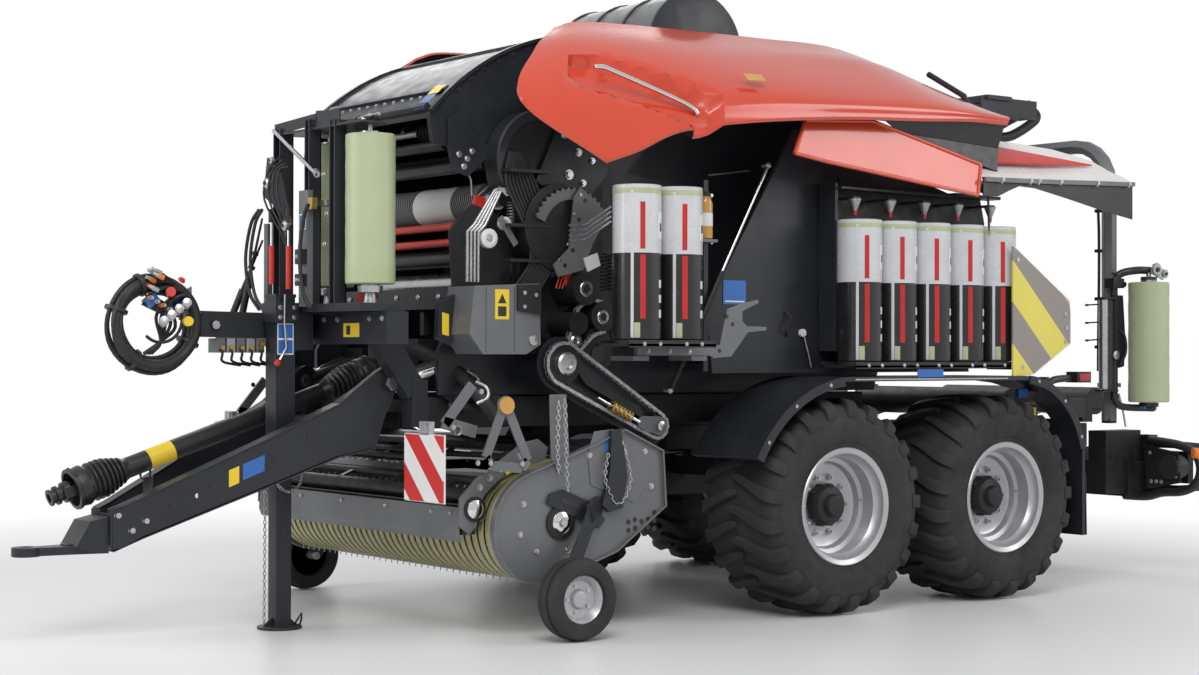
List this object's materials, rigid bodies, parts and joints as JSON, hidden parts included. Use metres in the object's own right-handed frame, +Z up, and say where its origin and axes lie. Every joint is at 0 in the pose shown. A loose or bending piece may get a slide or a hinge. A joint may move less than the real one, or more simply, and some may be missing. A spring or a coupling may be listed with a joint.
{
  "type": "bale wrapper",
  "caption": "Towed round baler with built-in bale wrapper: pickup, bale chamber, wrapping hoop and table, film stores, opening hood and tandem wheels.",
  "frame": {"origin": "on the ground under the middle of the machine's length and width", "axes": "+X forwards to the drawbar eye, +Y to the machine's left, +Z up"},
  "size_m": [7.4191, 2.954, 3.46],
  "materials": {
    "black": "satin black paint",
    "graphite": "gloss blue-black paint",
    "grey": "satin mid-grey paint",
    "hood_red": "gloss orange-red moulding",
    "rubber": "tyre rubber",
    "rim_silver": "satin silver paint",
    "steel": "bare worn steel",
    "film_green": "tightly wound stretch film",
    "wrapped_roll": "film roll in a printed plastic sleeve",
    "net_white": "wound net wrap",
    "cover_white": "gloss pale paint",
    "marker_yellow": "striped marker film",
    "guard_black": "moulded black plastic and rubber",
    "hose_black": "rubber hoses in a woven sleeve"
  },
  "bodies": {
    "root": {"main_frame": "black", "rear_frame": "black", "axle_tube": "black", "bogie_beam_left": "black", "bogie_beam_right": "black", "fender_left": "graphite", "fender_right": "graphite", "drawbar": "graphite", "hitch_eye": "graphite", "jack_sleeve": "graphite", "pto_shaft": "guard_black", "gearbox": "graphite", "front_beam": "graphite", "hose_bundle": "hose_black", "chamber_side_left": "graphite", "chamber_side_right": "graphite", "chamber_crown": "graphite", "chamber_roof": "graphite", "tailgate": "graphite", "chamber_belts": "guard_black", "feed_roller": "steel", "net_roll": "net_white", "binder_mast": "graphite", "binder_roll_left": "film_green", "binder_roll_right": "film_green", "spare_rolls_front_left": "wrapped_roll", "spare_rolls_front_right": "wrapped_roll", "spare_rolls_rear_left": "wrapped_roll", "spare_rolls_rear_right": "wrapped_roll", "side_panel_left": "graphite", "side_panel_right": "graphite", "drive_train": "black", "drive_housing": "grey", "chain_drive": "black", "marker_board_left": "marker_yellow", "marker_board_right": "marker_yellow", "rear_cover_left": "cover_white", "rear_cover_right": "cover_white", "top_cowl": "grey"},
    "jack_leg": {"jack_leg": "graphite"},
    "pickup": {"pickup_frame": "grey"},
    "pickup_reel": {"pickup_reel": "black"},
    "wind_guard": {"wind_guard": "graphite"},
    "gauge_wheel_left": {"gauge_wheel_left": "rubber"},
    "gauge_wheel_right": {"gauge_wheel_right": "rubber"},
    "hood_left": {"hood_left": "hood_red"},
    "hood_right": {"hood_right": "hood_red"},
    "wrap_rotor": {"wrap_hoop": "grey", "film_stretcher_left": "film_green", "film_stretcher_right": "film_green"},
    "wrap_table": {"wrap_table": "black"},
    "wheel_front_left": {"tyre_front_left": "rubber", "rim_front_left": "rim_silver"},
    "wheel_front_right": {"tyre_front_right": "rubber", "rim_front_right": "rim_silver"},
    "wheel_rear_left": {"tyre_rear_left": "rubber", "rim_rear_left": "rim_silver"},
    "wheel_rear_right": {"tyre_rear_right": "rubber", "rim_rear_right": "rim_silver"}
  },
  "joints": [
    {"name": "spin_front_left", "type": "hinge", "parent": "root", "child": "wheel_front_left", "pos_m": [-0.344, 1.18, 0.585], "axis": [0, 1, 0], "continuous": true},
    {"name": "spin_front_right", "type": "hinge", "parent": "root", "child": "wheel_front_right", "pos_m": [-0.344, -1.18, 0.585], "axis": [0, 1, 0], "continuous": true},
    {"name": "spin_rear_left", "type": "hinge", "parent": "root", "child": "wheel_rear_left", "pos_m": [-1.596, 1.18, 0.585], "axis": [0, 1, 0], "continuous": true},
    {"name": "spin_rear_right", "type": "hinge", "parent": "root", "child": "wheel_rear_right", "pos_m": [-1.596, -1.18, 0.585], "axis": [0, 1, 0], "continuous": true},
    {"name": "jack_slide", "type": "slide", "parent": "root", "child": "jack_leg", "axis": [0, 0, 1], "range_m": [0, 0.45]},
    {"name": "pickup_lift", "type": "hinge", "parent": "root", "child": "pickup", "pos_m": [0.93, 0, 0.9], "axis": [0, -1, 0], "range_deg": [0, 10]},
    {"name": "reel_spin", "type": "hinge", "parent": "pickup", "child": "pickup_reel", "pos_m": [1.45, 0, 0.54], "axis": [0, 1, 0], "continuous": true},
    {"name": "gauge_spin_left", "type": "hinge", "parent": "pickup", "child": "gauge_wheel_left", "pos_m": [1.39, 1.38, 0.205], "axis": [0, 1, 0], "continuous": true},
    {"name": "gauge_spin_right", "type": "hinge", "parent": "pickup", "child": "gauge_wheel_right", "pos_m": [1.39, -1.38, 0.205], "axis": [0, 1, 0], "continuous": true},
    {"name": "wind_guard_lift", "type": "hinge", "parent": "pickup", "child": "wind_guard", "pos_m": [1.36, 0, 0.9], "axis": [0, -1, 0], "range_deg": [0, 10]},
    {"name": "hood_left_hinge", "type": "hinge", "parent": "root", "child": "hood_left", "pos_m": [-0.97, 0.68, 3.15], "axis": [-1, 0, 0], "range_deg": [0, 18]},
    {"name": "hood_right_hinge", "type": "hinge", "parent": "root", "child": "hood_right", "pos_m": [-0.97, -0.68, 3.15], "axis": [-1, 0, 0], "range_deg": [0, 18]},
    {"name": "rotor_spin", "type": "hinge", "parent": "root", "child": "wrap_rotor", "pos_m": [-2.92, 0, 2.72], "axis": [0, 0, 1], "continuous": true},
    {"name": "table_tip", "type": "hinge", "parent": "root", "child": "wrap_table", "pos_m": [-3.21, 0, 0.985], "axis": [0, -1, 0], "range_deg": [0, 25]}
  ]
}
